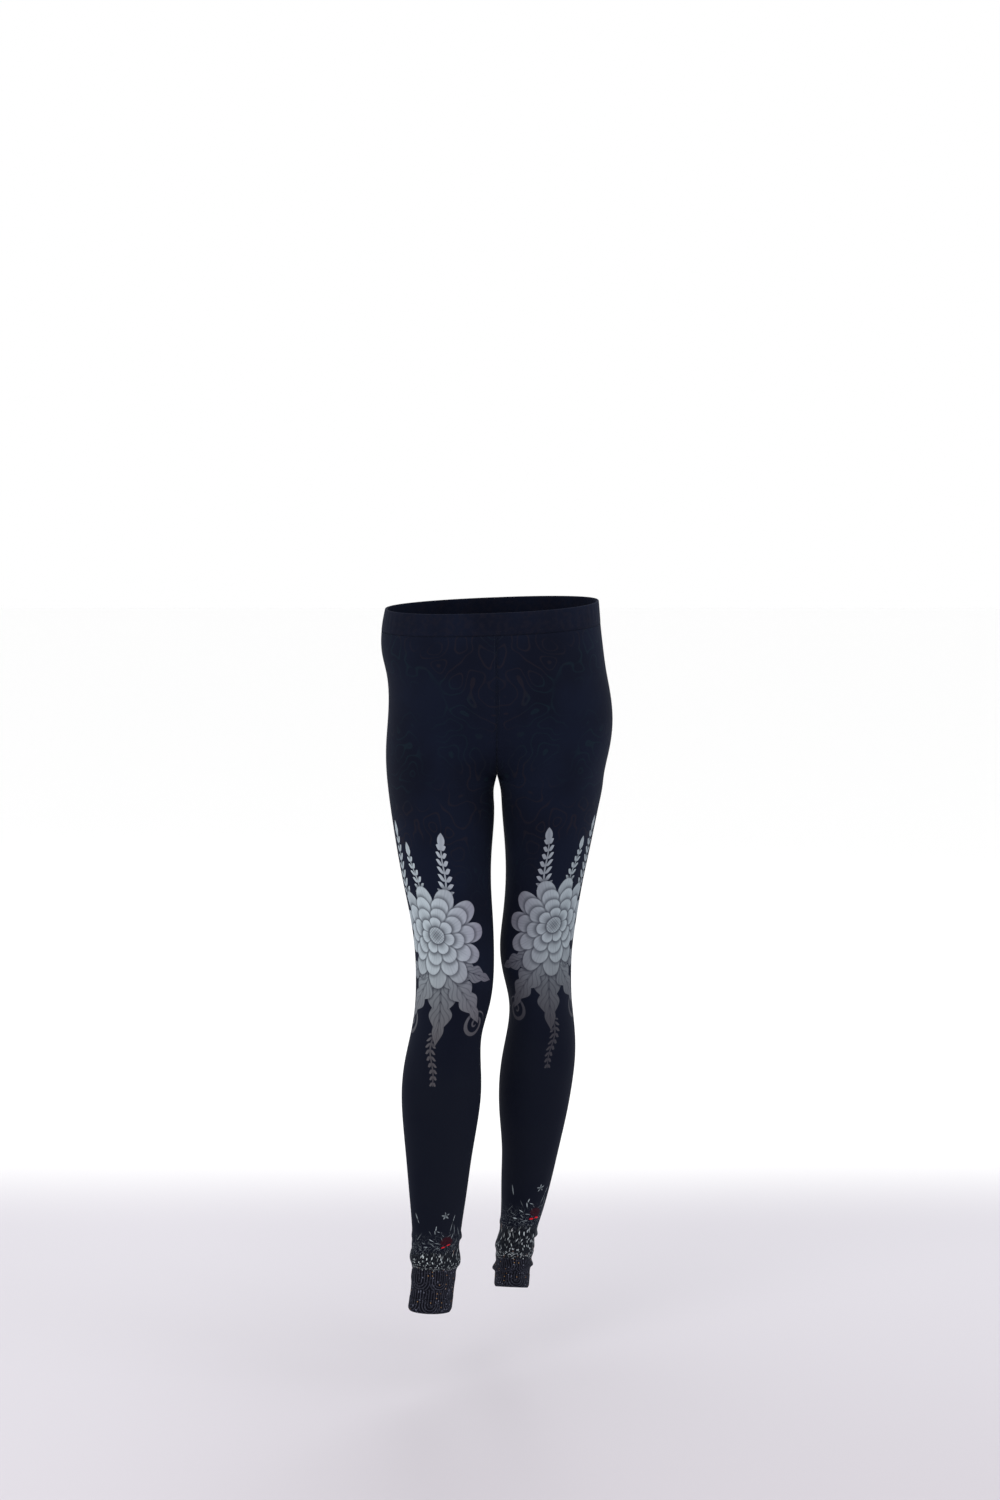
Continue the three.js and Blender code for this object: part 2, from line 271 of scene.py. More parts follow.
class SideForm:
    """One side's outer surface: a point for a share of the way round, 0 at the inner or front seam by way of
    the front and the outer side to 1, and a distance down from the waist."""

    def __init__(self, side):
        self.side = side
        leg = side["leg"]
        down = np.concatenate([TRUNK["down"], leg["down"]])
        none = np.zeros(len(TRUNK["down"]))

        def measure(trunk, name):
            return column(down, np.concatenate([trunk, leg[name]]))

        self.outer = measure(TRUNK[side["name"]], "outer")
        self.inner = measure(none, "inner")
        self.front = measure(TRUNK["front"], "front")
        self.back = measure(TRUNK["back"], "back")
        self.turn = measure(none, "turn")
        self.centre_front = column(TRUNK["down"], TRUNK["front"])
        self.centre_back = column(TRUNK["down"], TRUNK["back"])

    def widest(self, down):
        middle = (self.back(down) - self.front(down)) / 2
        return mix(CROTCH_BACK, middle, smooth((down - CROTCH_DOWN) / MERGE_HEIGHT))

    def opening(self, share, down):
        """0 on the leg's tube and 1 where the trunk is one piece, sooner by the seam than away from it."""
        t = np.clip((CROTCH_DOWN - down) / MERGE_HEIGHT, 0, 1)
        near_seam = np.cos(math.pi * share) ** 8
        return mix(smooth(t), np.sqrt(1 - (1 - t) ** 2), near_seam)

    def gather(self, share, up):
        """The bulge and the sag of the ankle's folds."""
        out = 0 * share
        sag = 0 * share
        for fold in self.side["folds"]:
            facing = np.cos(share * TAU - math.radians(fold["at"]))
            off = (up - fold["up"] - fold["climb"] * facing) / fold["tall"]
            amount = np.exp(-off * off) * (1 - fold["uneven"] * (1 - facing) / 2)
            out = out + fold["out"] * amount
            sag = sag + fold["sag"] * amount
        return out, sag

    def points(self, share, down, proud=0.0):
        """Points in millimetres for arrays of share and down of one shape."""
        side = self.side
        w = self.opening(share, down)
        outer, inner = self.outer(down), np.where(down > CROTCH_DOWN, self.inner(down), 0)
        middle, half, widest = (outer + inner) / 2, (outer - inner) / 2, self.widest(down)
        angle = share * TAU
        reach = np.where(np.sin(angle) > 0, self.front(down) + widest, self.back(down) - widest)
        out = -half * np.cos(angle)
        tube_x = middle + out
        tube_y = widest - reach * np.sin(angle) - self.turn(down) * out
        trunk_down = np.minimum(down, CROTCH_DOWN)
        turn = share * math.pi
        ahead = np.cos(turn)
        power = 2 / TRUNK_FULLNESS
        trunk_front = self.centre_front(trunk_down) + CROTCH_BACK
        trunk_back = self.centre_back(trunk_down) - CROTCH_BACK
        trunk_reach = np.where(ahead > 0, trunk_front, trunk_back)
        trunk_x = outer * np.abs(np.sin(turn)) ** power
        trunk_y = CROTCH_BACK - trunk_reach * np.sign(ahead) * np.abs(ahead) ** power
        x, y = mix(tube_x, trunk_x, w), mix(tube_y, trunk_y, w)
        up = side["bottom"] - down
        bulge, sag = self.gather(share, up)
        lean = mix(2.0, 1.0, w) * share * math.pi
        out_x = np.where(w > 0, np.sin(lean), -np.cos(lean))
        out_y = np.where(w > 0, -np.cos(lean), -np.sin(lean))
        x = x + (bulge + proud) * out_x
        y = y + (bulge + proud) * out_y
        x = np.where(down < CROTCH_DOWN, np.maximum(x, 0), x)
        tilt = 1 - smooth(up / HEM_SLOPE_HEIGHT)
        behind = y - widest
        slope = np.where(behind < 0, side["slope_front"], side["slope_back"])
        z = -down - sag + tilt * (slope * behind + side["slope_out"] * (x - middle))
        sign = side["sign"]
        z = z + (1 - smooth(down / WAIST_FADE)) * (WAIST_ACROSS * sign * x + WAIST_BACK * y)
        return np.stack([sign * (x + SEAM_GAP / 2), y, z], -1)


FORMS = {side["name"]: SideForm(side) for side in SIDES}


def normals_of(grid, facing):
    """Unit normals of a grid of points, rows from the top down, pointing out of the garment."""
    return unit(np.cross(np.gradient(grid, axis=0), np.gradient(grid, axis=1)) * facing)


# How finely the cloth is modelled
LEG_COLUMNS = 128
BAND_COLUMNS = 144
HEM_COLUMNS = 112
TRUNK_STEP = 5.0
MERGE_ROWS = 22
LEG_STEP = 4.0
GATHER_HEIGHT = 150.0
GATHER_STEP = 1.25
LIP_POINTS = 7
WALL_POINTS = 12
BAND_SHARE = (np.arange(BAND_COLUMNS) + 0.5) / BAND_COLUMNS
HEM_SHARE = np.arange(HEM_COLUMNS) / HEM_COLUMNS

# The prints lie about a line down each leg, this share of the way round from the inseam by way of the front.
# UV holds the flat cloth: U runs outwards from that line and V up from the hem's edge.
PRINT_LINE = 0.36
CLOTH_WIDTH = 0.72
CLOTH_LENGTH = 1.04

# The seams sink a little between the rounded edges of their allowances
SEAM_SINK = 0.8
SEAM_HALF = 1.7
BAND_SEAM_HALF = 2.6
ALLOWANCE_RISE = 0.3
ALLOWANCE_AT = 4.2
ALLOWANCE_HALF = 2.0


def leg_rows(bottom):
    """Rows of the leg's cloth from under the band to the hem, closest together in the gathers."""
    merge_top = CROTCH_DOWN - MERGE_HEIGHT
    gather_top = bottom - GATHER_HEIGHT
    end = bottom - HEM_HEIGHT - SEAM_GAP
    merge = merge_top + MERGE_HEIGHT * np.sin(np.linspace(0, math.pi / 2, MERGE_ROWS, endpoint=False))
    return np.concatenate([
        np.arange(BAND_HEIGHT + SEAM_GAP, merge_top - TRUNK_STEP / 2, TRUNK_STEP),
        merge,
        np.arange(CROTCH_DOWN, gather_top - LEG_STEP / 2, LEG_STEP),
        np.linspace(gather_top, end, int((end - gather_top) / GATHER_STEP)),
    ])


def way_round(grid):
    """Each point's distance along its row from the first point."""
    steps = np.linalg.norm(np.diff(grid, axis=1), axis=-1)
    return np.concatenate([np.zeros((len(grid), 1)), np.cumsum(steps, 1)], 1)


def flat_cloth(side, grid, share, down):
    """The grid's place on the flat cloth: millimetres outwards from the print's line and up from the hem."""
    along = way_round(grid)
    total = along[:, -1:]
    line = np.stack([np.interp(PRINT_LINE, share[0], row) for row in along])[:, None]
    cloth = np.interp(side["bottom"] - down, side["cloth"]["up"], side["cloth"]["cloth"])
    return along, total, along - line, cloth


def crease_depth(side, along, total, down):
    depth = 0 * along
    for crease in side["creases"]:
        off = along - crease["round"] * total
        rise = down - crease["down"] + crease["slant"] * off
        depth += crease["deep"] * np.exp(-(off / crease["long"]) ** 2 - (rise / crease["tall"]) ** 2)
    return depth


def seam_depth(along, total):
    """The trough along the rise and the inseam, and the low rounded edges beside it."""
    near = np.minimum(along, total - along)
    rise = ALLOWANCE_RISE * np.exp(-((near - ALLOWANCE_AT) / ALLOWANCE_HALF) ** 2)
    return rise - SEAM_SINK * np.exp(-(near / SEAM_HALF) ** 2)


def new_mesh(name, points, faces, uv=None):
    """A smooth-shaded object from points in millimetres, with a UV for each face's corner."""
    mesh = bpy.data.meshes.new(name)
    mesh.from_pydata((np.asarray(points) * MM).tolist(), [], faces)
    if uv is not None:
        mesh.uv_layers.new(name="flat_cloth").data.foreach_set("uv", np.asarray(uv, "f").ravel())
    mesh.polygons.foreach_set("use_smooth", [True] * len(mesh.polygons))
    mesh.update()
    piece = bpy.data.objects.new(name, mesh)
    bpy.context.collection.objects.link(piece)
    return piece


def quads(grid, facing):
    """The four corners of each cell of a grid, in the order of a face that points out of the garment."""
    a, b, c, d = grid[:-1, :-1], grid[1:, :-1], grid[1:, 1:], grid[:-1, 1:]
    return np.stack((a, b, c, d) if facing > 0 else (a, d, c, b), 2)


def grid_faces(ids, facing):
    """Faces between the rows and columns of a grid of point numbers."""
    return quads(ids, facing).reshape(-1, 4).tolist()


def uv_of(across, cloth, facing):
    """UVs in the order of grid_faces."""
    flat = np.stack([across * MM / CLOTH_WIDTH + 0.5, cloth * MM / CLOTH_LENGTH], -1)
    return quads(flat, facing).reshape(-1, 2)


def only(piece):
    """Makes one object the selected and active one, for an operator."""
    for other in bpy.context.view_layer.objects:
        other.select_set(other is piece)
    bpy.context.view_layer.objects.active = piece


def thicken(piece, thickness, inside_slot=0):
    """Gives a sheet its wall, inwards from its face, and closes the rim."""
    wall = piece.modifiers.new("wall", "SOLIDIFY")
    wall.thickness = thickness * MM
    wall.offset = -1
    wall.material_offset = inside_slot
    wall.material_offset_rim = inside_slot
    only(piece)
    bpy.ops.object.modifier_apply(modifier=wall.name)


def leg_cloth(side):
    """One leg's panel of jersey: a C-shaped sheet down to the crotch and a closed tube below it."""
    form, facing = FORMS[side["name"]], side["sign"]
    rows = leg_rows(side["bottom"])
    share, down = np.meshgrid(np.linspace(0, 1, LEG_COLUMNS + 1), rows)
    grid = form.points(share, down)
    tube = rows >= CROTCH_DOWN
    grid[tube, -1] = grid[tube, 0]
    along, total, across, cloth = flat_cloth(side, grid, share, down)
    normal = normals_of(grid, facing)
    at_inseam = unit(normal[tube, 0] + normal[tube, -1])
    normal[tube, 0] = at_inseam
    normal[tube, -1] = at_inseam
    depth = crease_depth(side, along, total, down) + seam_depth(along, total)
    grid = grid + normal * depth[..., None]
    ids = np.arange(share.size).reshape(share.shape)
    ids[tube, -1] = ids[tube, 0]
    used, faces = np.unique(grid_faces(ids, facing), return_inverse=True)
    points = grid.reshape(-1, 3)[used]
    uv = uv_of(across, cloth, facing)
    piece = new_mesh("leg_cloth_" + side["name"], points, faces.reshape(-1, 4).tolist(), uv)
    thicken(piece, LEG_WALL, inside_slot=1)
    return piece


def band_section(height, wall, rounded_top):
    """Points round a band's section: down the outside and up the inside, as (down, inset)."""
    bend = wall / 2
    arc = np.linspace(0, math.pi, LIP_POINTS)
    lip = np.stack([bend * (1 - np.sin(arc)), bend * (1 - np.cos(arc))], -1)
    straight = np.linspace(bend, height, WALL_POINTS)[1:]
    outside = np.stack([straight, 0 * straight], -1)
    inside = np.stack([straight[::-1], 0 * straight + wall], -1)
    section = np.concatenate([inside, lip[::-1], outside])
    if not rounded_top:
        section[:, 0] = height - section[:, 0]
        section = section[::-1]
    return section


def ring_mesh(name, grid, facing, across=None, cloth=None):
    """A closed band from a grid whose rows go round its section and whose columns go round the body."""
    rows, columns = grid.shape[:2]
    ids = closed(closed(np.arange(rows * columns).reshape(rows, columns)), 1)
    uv = None if across is None else uv_of(closed(across), closed(closed(cloth), 1), facing)
    return new_mesh(name, grid.reshape(-1, 3), grid_faces(ids, facing), uv)


def waistband():
    """The elastic waistband, with the shallow puckers of its elastic and the ends of the rise seam."""
    section = band_section(BAND_HEIGHT, BAND_WALL, rounded_top=True)
    down, inset = section[:, :1], section[:, 1:]
    near_seam = np.minimum(BAND_SHARE, 1 - BAND_SHARE) * BAND_GIRTH / 2
    uneven = PUCKER_DRIFT * np.sin(BAND_SHARE * PUCKER_WAVES * TAU)
    puckers = PUCKER_DEEP * np.sin(BAND_SHARE * PUCKERS * TAU + uneven) * np.sin(math.pi * down / BAND_HEIGHT)
    proud = BAND_PROUD + puckers - SEAM_SINK * np.exp(-(near_seam / BAND_SEAM_HALF) ** 2)
    share = BAND_SHARE + 0 * down
    right, left = (FORMS[side["name"]].points(share, down + 0 * share, proud - inset) for side in SIDES)
    return ring_mesh("waistband_cloth", np.concatenate([right[:, ::-1], left], 1), 1)


def hem_band(side):
    """The hem turned up double, with its fold at the bottom edge."""
    section = band_section(HEM_HEIGHT, HEM_WALL, rounded_top=False)
    down = side["bottom"] - HEM_HEIGHT + section[:, :1]
    inset = section[:, 1:]
    pull = FOLD_PULL * np.exp(-((side["bottom"] - down) / FOLD_TALL) ** 2)
    proud = HEM_PROUD - inset - pull
    grid = FORMS[side["name"]].points(HEM_SHARE + 0 * down, down + 0 * HEM_SHARE, proud)
    along = way_round(closed(grid, 1))
    across = along - PRINT_LINE * along[:, -1:]
    cloth = side["bottom"] - down + 0 * HEM_SHARE
    return ring_mesh("hem_cloth_" + side["name"], grid, side["sign"], across, cloth)


# The overlocked seam allowance inside the rise
RISE_WIDE = 7.2
RISE_OUTSIDE = 1.0
RISE_CURL = 0.9
RISE_WALL = 1.5
RISE_STEP = 3.0
RISE_MERGE_ROWS = 60
RISE_COLUMNS = 7


def rise_seam():
    """The strip of pressed seam allowance from the waistband's front edge through the crotch to its back."""
    form = FORMS["left"]
    merge_top = CROTCH_DOWN - MERGE_HEIGHT
    down = np.concatenate([
        np.arange(BAND_HEIGHT + 1, merge_top, RISE_STEP),
        merge_top + MERGE_HEIGHT * np.sin(np.linspace(0, math.pi / 2, RISE_MERGE_ROWS)),
    ])
    front = form.points(0 * down, down)
    back = form.points(0 * down + 1, down)
    path = np.concatenate([front, back[-2::-1]])
    path[:, 0] = 0
    outward = np.cross(unit(np.gradient(path, axis=0)), (1, 0, 0))
    share = np.linspace(-1, 1, RISE_COLUMNS)[None, :, None]
    across = share * (RISE_WIDE / 2) * np.array([1, 0, 0])
    grid = path[:, None] + across - outward[:, None] * (RISE_OUTSIDE - RISE_CURL * share ** 2)
    ids = np.arange(grid[..., 0].size).reshape(grid.shape[:2])
    piece = new_mesh("rise_seam", grid.reshape(-1, 3), grid_faces(ids, 1))
    thicken(piece, RISE_WALL)
    return piece


class Number:
    """A number that a finish works out for each place. Sums with it add Math nodes."""

    def __init__(self, finish, socket):
        self.finish = finish
        self.socket = socket

    def math(self, operation, *others):
        return self.finish.math(operation, self, *others)

    def __add__(self, other):
        return self.math("ADD", other)

    __radd__ = __add__

    def __mul__(self, other):
        return self.math("MULTIPLY", other)

    __rmul__ = __mul__

    def __sub__(self, other):
        return self.math("SUBTRACT", other)

    def __rsub__(self, other):
        return self.finish.math("SUBTRACT", other, self)

    def __truediv__(self, other):
        return self.math("DIVIDE", other)

    def __pow__(self, power):
        return self.math("POWER", power)

    def __abs__(self):
        return self.math("ABSOLUTE")

    def __neg__(self):
        return self * -1

    def least(self, other):
        return self.math("MINIMUM", other)

    def most(self, other):
        return self.math("MAXIMUM", other)

    def sine(self):
        return self.math("SINE")

    def root(self):
        return self.math("SQRT")

    def whole(self):
        return self.math("FLOOR")

    def part(self):
        return self.math("FRACT")

    def angle_with(self, x):
        return self.math("ARCTAN2", x)

    def above(self, low, high):
        """0 below low, 1 above high and smooth between them."""
        settings = {"interpolation_type": "SMOOTHSTEP"}
        return self.finish.add("ShaderNodeMapRange", settings, (self, low, high, 0.0, 1.0))


class Finish:
    """One material. Its shader is a Principled BSDF, and every other node comes from add."""

    def __init__(self, name, **plain):
        self.material = bpy.data.materials.new(name)
        self.material.use_nodes = True
        self.tree = self.material.node_tree
        self.shader = self.tree.nodes["Principled BSDF"]
        for socket, value in plain.items():
            self.shader.inputs[socket.replace("_", " ")].default_value = value

    def feed(self, socket, value):
        if isinstance(value, Number):
            self.tree.links.new(value.socket, socket)
        else:
            socket.default_value = value

    def add(self, kind, settings, inputs, output=0):
        node = self.tree.nodes.new(kind)
        for name, value in settings.items():
            setattr(node, name, value)
        pairs = inputs.items() if isinstance(inputs, dict) else enumerate(inputs)
        for place, value in pairs:
            self.feed(node.inputs[place], value)
        return Number(self, node.outputs[output])

    def math(self, operation, *values):
        return self.add("ShaderNodeMath", {"operation": operation}, values)

    def split(self, place):
        """A place's three measures."""
        first = self.add("ShaderNodeSeparateXYZ", {}, (place,))
        return [Number(self, socket) for socket in first.socket.node.outputs]

    def between(self, factor, first, second):
        """A number between two numbers."""
        return self.add("ShaderNodeMix", {"data_type": "FLOAT"}, {0: factor, 2: first, 3: second})

    def blend(self, factor, first, second):
        """A colour between two colours."""
        return self.add("ShaderNodeMix", {"data_type": "RGBA"}, {0: factor, 6: first, 7: second}, 2)

    def noise(self, place, scale, detail):
        inputs = {"Vector": place, "Scale": scale, "Detail": detail}
        return self.add("ShaderNodeTexNoise", {"noise_dimensions": "3D"}, inputs)

    def chance(self, x, y):
        """An even random number for each whole-numbered cell."""
        cell = self.add("ShaderNodeCombineXYZ", {}, (x, y, 0.0))
        return self.add("ShaderNodeTexWhiteNoise", {"noise_dimensions": "2D"}, {"Vector": cell})

    def place(self):
        return self.add("ShaderNodeTexCoord", {}, (), 3)

    def flat_cloth(self):
        """Millimetres outwards from the print's line and up from the hem's edge, from the piece's UV."""
        across, up, _ = self.split(self.add("ShaderNodeUVMap", {"uv_map": "flat_cloth"}, ()))
        return (across - 0.5) * (CLOTH_WIDTH / MM), up * (CLOTH_LENGTH / MM)

    def bump(self, height, distance, strength, normal=None):
        inputs = {"Strength": strength, "Distance": distance * MM, "Height": height}
        if normal is not None:
            inputs["Normal"] = normal
        return self.add("ShaderNodeBump", {}, inputs)

    def show(self, **inputs):
        for socket, value in inputs.items():
            self.feed(self.shader.inputs[socket.replace("_", " ")], value)


def srgb(red, green, blue):
    """A colour from its 0 to 255 screen values."""
    def linear(value):
        c = value / 255
        return c / 12.92 if c <= 0.04045 else ((c + 0.055) / 1.055) ** 2.4
    return (linear(red), linear(green), linear(blue), 1.0)


NAVY = srgb(16, 21, 36)
NAVY_DEEP = srgb(13, 16, 28)
NAVY_LOW = srgb(17, 20, 30)
TONE_LINE = srgb(32, 28, 34)
TONE_COOL = srgb(20, 34, 42)
REVERSE = srgb(30, 34, 46)
SILVER = srgb(176, 188, 195)
SILVER_INNER = srgb(132, 130, 146)
SILVER_DEEP = srgb(40, 42, 54)
TAUPE = srgb(120, 116, 118)
TAUPE_DEEP = srgb(44, 44, 52)
MARL_LIGHT = srgb(188, 197, 201)
MARL_WARM = srgb(184, 150, 136)
MARL_DARK = srgb(14, 17, 23)
CUFF_DARK = srgb(9, 9, 16)
CUFF_LIGHT = srgb(96, 99, 114)
GOLD = srgb(166, 126, 76)
BERRY = srgb(214, 24, 34)
BERRY_DEEP = srgb(46, 12, 21)
TWIG = srgb(178, 190, 196)
THREAD = srgb(22, 27, 42)

# The knit, the thread's plies and the overlock's wraps, in millimetres, and the jersey's soft sheen
WALE = 1.15
COURSE = 0.9
THREAD_PLY = 0.55
WRAP_PITCH = 2.4
JERSEY = {"Specular_IOR_Level": 0.035, "Sheen_Roughness": 0.55, "Sheen_Tint": srgb(150, 165, 205)}


class Motif:
    """Printed shapes on the flat cloth. Each gives an inside, which is above 0 within it, in millimetres."""

    def __init__(self, finish, x, y):
        self.finish = finish
        self.x = x
        self.y = y

    def at(self, x, y, turn=0.0):
        """The same cloth measured from another point, with x along a direction turned from the cloth's."""
        cos, sin = math.cos(math.radians(turn)), math.sin(math.radians(turn))
        dx, dy = self.x - x, self.y - y
        return Motif(self.finish, dx * cos + dy * sin, dy * cos - dx * sin)

    def mirrored(self):
        return Motif(self.finish, abs(self.x), self.y)

    def radius(self):
        return (self.x * self.x + self.y * self.y).root()

    def oval(self, long, wide):
        x, y = self.x / long, self.y / wide
        return (1 - (x * x + y * y).root()) * wide

    def leaf(self, length, width):
        """A lobed leaf along x from its stalk: the inside, the share of the length and of the width."""
        share = (self.x / length).most(0.001).least(0.999)
        body = (share ** 0.75 * math.pi).sine() * width
        body = body * (abs((share ** 0.8 * (LEAF_LOBES * math.pi)).sine()) * 0.36 + 0.64)
        inside = (body - abs(self.y)).least(self.x * (length - self.x))
        return inside, share, abs(self.y) / body.most(0.5)

    def spray(self, row):
        """A stem along x with pairs of small leaves and a bud: the inside and how far out it is."""
        length, pitch, bud = row["length"], row["pitch"], row["bud"]
        share = self.x / length
        off = abs(self.y - (share * share * row["bend"] + (share * TAU).sine() * row["sway"]))
        taper = 1.15 - share * 0.6
        reach = taper * row["long"]
        run = ((self.x - off * 0.8) / pitch).part() - 0.5
        out = off / reach
        leaf = ((out * math.pi).sine() * row["plump"] - abs(run) * pitch).least(reach - off)
        inside = leaf.most(taper * (STEM_WIDTH / 2) - off).least(self.x).least(length - self.x)
        if bud:
            past = (self.x - length) / (bud * 2.2)
            inside = inside.most((1 - past * past) * bud - off)
        return inside, out

    def stroke(self, long, wide):
        """A thin stroke along x, pointed at both ends."""
        return (1 - (self.x / long) ** 2.0) * wide - abs(self.y)

    def curl(self, size, width, turns, phase, hand):
        """A tendril wound into a spiral that thins towards its eye: the inside."""
        radius = self.radius()
        angle = (self.y * hand).angle_with(self.x) / TAU
        pitch = size / turns
        off = abs((radius / pitch - angle + phase).part() - 0.5) * pitch
        return (radius * (0.35 / size * width) + width * 0.15 - off).least(size - radius)


class Print:
    """A two-tone print built up in layers: how much ink covers the cloth and how light it is."""

    def __init__(self, finish):
        self.finish = finish
        self.cover = 0.0
        self.light = 0.0

    def lay(self, inside, light, shadow=0.0):
        mask = inside.above(-INK_EDGE, INK_EDGE)
        if shadow:
            self.light = (1 - inside.above(-shadow, 0.0) * 0.6) * self.light
        self.light = self.finish.between(mask, self.light, light)
        self.cover = mask.most(self.cover)


# The knee's print: a layered flower with leaves under it, tendrils, and budding stems above. KNEE is the
# flower's middle on the flat cloth
KNEE = (-18.0, 573.0)
INK_EDGE = 0.5
LEAF_LOBES = 5
STEM_WIDTH = 2.6
PETAL_RINGS = entries("count length width phase uneven base tip", [
    (11, 69, 0.30, 0.10, 0.05, 0.10, 0.80),
    (10, 54, 0.26, 0.55, 0.04, 0.15, 0.94),
    (8, 39, 0.24, 0.20, 0.05, 0.20, 0.90),
    (7, 25, 0.22, 0.70, 0.03, 0.22, 1.0),
])
FAN_LEAVES = entries("x y turn length width tip", [
    (2, -34, -22, 86, 15, 0.36),
    (4, -38, -56, 104, 18, 0.50),
])
MIDDLE_LEAF = dict(x=0, y=-40, turn=-91, length=112, width=21, tip=0.42)
SPRAYS = entries("x y turn length bend sway long plump pitch bud low", [
    (-20, 48, 103, 80, -9, 2.0, 11, 3.6, 10.5, 5.0, 0),
    (14, 56, 80, 58, -4, 1.5, 9, 3.2, 9.5, 4.6, 0),
    (44, 44, 76, 92, 8, -2.5, 12, 3.8, 11.5, 5.6, 0),
    (1, -134, -88, 72, -10, 3.0, 8, 2.8, 9.0, 0, 1),
])
TENDRILS = entries("x y size width turns hand phase", [
    (-56, -124, 19, 6.5, 1.7, 1, 0.05),
    (56, -124, 19, 6.5, 1.7, -1, 0.45),
])


def lay_leaf(ink, motif, row):
    inside, share, off = motif.at(row["x"], row["y"], row["turn"]).leaf(row["length"], row["width"])
    veins = abs((off * 2.2 - share * 9).part() - 0.5).above(0.30, 0.46) * 0.18
    midrib = (0.14 - off).above(0, 0.1) * 0.2
    ink.lay(inside, share * 0.26 + (row["tip"] - 0.08) - veins - midrib, 5.0)


def knee_flower(finish, across, up):
    """Ink and lightness of the knee's print."""
    motif = Motif(finish, across - KNEE[0], up - KNEE[1])
    ink = Print(finish)
    for row in TENDRILS:
        place = motif.at(row["x"], row["y"])
        ink.lay(place.curl(row["size"], row["width"], row["turns"], row["phase"], row["hand"]), 0.42)
    for row in SPRAYS:
        inside, out = motif.at(row["x"], row["y"], row["turn"]).spray(row)
        ink.lay(inside, out.least(1.0) * 0.28 + (0.36 if row["low"] else 0.66))
    lay_leaf(ink, motif, MIDDLE_LEAF)
    for row in reversed(FAN_LEAVES):
        lay_leaf(ink, motif.mirrored(), row)
    radius = motif.radius()
    angle = motif.y.angle_with(motif.x)
    waver = (angle * 3).sine()
    for row in PETAL_RINGS:
        off = abs((angle * (row["count"] / TAU) + row["phase"]).part() - 0.5) * 2
        edge = (waver * (row["uneven"] * row["length"]) + row["length"]) * (1 - off ** 2.4 * row["width"])
        rise = (radius / edge).above(0.30, 1.02)
        line = off.above(0.80, 0.99) * 0.55 + (0.09 - off).above(0.0, 0.08) * 0.14 - (off * 19).sine() * 0.04
        tone = rise * (row["tip"] - row["base"]) + row["base"]
        ink.lay(edge - radius, tone * (1 - line) - (edge - radius).above(2.4, 0.6) * 0.10, 7.0)
    disc = 11 - radius
    seeds = (motif.x * 1.5).sine() * (motif.y * 1.5).sine() * 0.24
    ink.lay(disc, 0.68 - disc.above(0.0, 9.0) * 0.30 + seeds, 4.0)
    return ink


# The ankle's print, by height on the flat cloth: a dark cable knit, a fleck knit and then thin twigs with a
# blossom and two berries. The twigs repeat round the leg and are measured from the berries, x to the wearer's
# left; long and wide are half sizes
CABLE_TOP = 64.0
CABLE_WIDTH = 31.0
CABLE_TALL = 33.0
CABLE_BEND = 13.0
CORD_PITCH = 3.9
BEAD_PITCH = 2.4
DOT_ACROSS = 12.4
DOT_UP = 6.4
GRAIN_ACROSS = 1.5
GRAIN_UP = 1.8
FLECK_TOP = 107.0
FLECK_ACROSS = 1.75
FLECK_UP = 1.6
FLECK_GROWTH = 0.06
TWIG_TOP = 158.0
BERRIES_RIGHT = -39.0
BERRIES_LEFT = -1.0
BERRIES_UP = 123.0
BERRIES_LEVEL_LEFT = 0.35
TWIG_REPEAT = 97.0
TWIG_START = 64.0
BLOSSOM = (-2.0, 59.0)
TWIGS = entries("x y turn long wide light", [
    (-17, 38, 80, 5, 0.9, 0.70),
    (-18, 29, 104, 6, 1.0, 0.55),
    (-24, 17, -38, 5, 0.8, 0.75),
    (-14, 10, -16, 6, 0.7, 0.55),
    (-30, 1, -5, 4, 1.1, 1.0),
    (-12, 31, -24, 5, 0.7, 0.70),
    (-7, 25, -52, 5, 0.6, 0.45),
    (13, 50, 66, 9, 0.7, 0.75),
    (8, 36, 74, 11, 0.6, 0.50),
    (15, 31, -82, 11, 0.6, 0.50),
    (11, 20, 54, 7, 0.7, 0.55),
    (-44, 56, -72, 11, 1.2, 0.40),
    (-15, -4, 12, 6, 0.7, 0.50),
    (14, -2, 30, 7, 0.7, 0.50),
    (-42, 20, 62, 12, 0.6, 0.30),
    (27, 24, -66, 11, 0.8, 0.45),
    (-21, 6, -58, 6, 0.9, 0.30),
    (-35, 10, -24, 7, 0.7, 0.28),
    (-8, 17, -70, 6, 0.7, 0.30),
    (19, 9, 80, 8, 0.7, 0.36),
    (-26, 32, -64, 8, 0.5, 0.26),
    (5, 22, 28, 7, 0.5, 0.30),
])


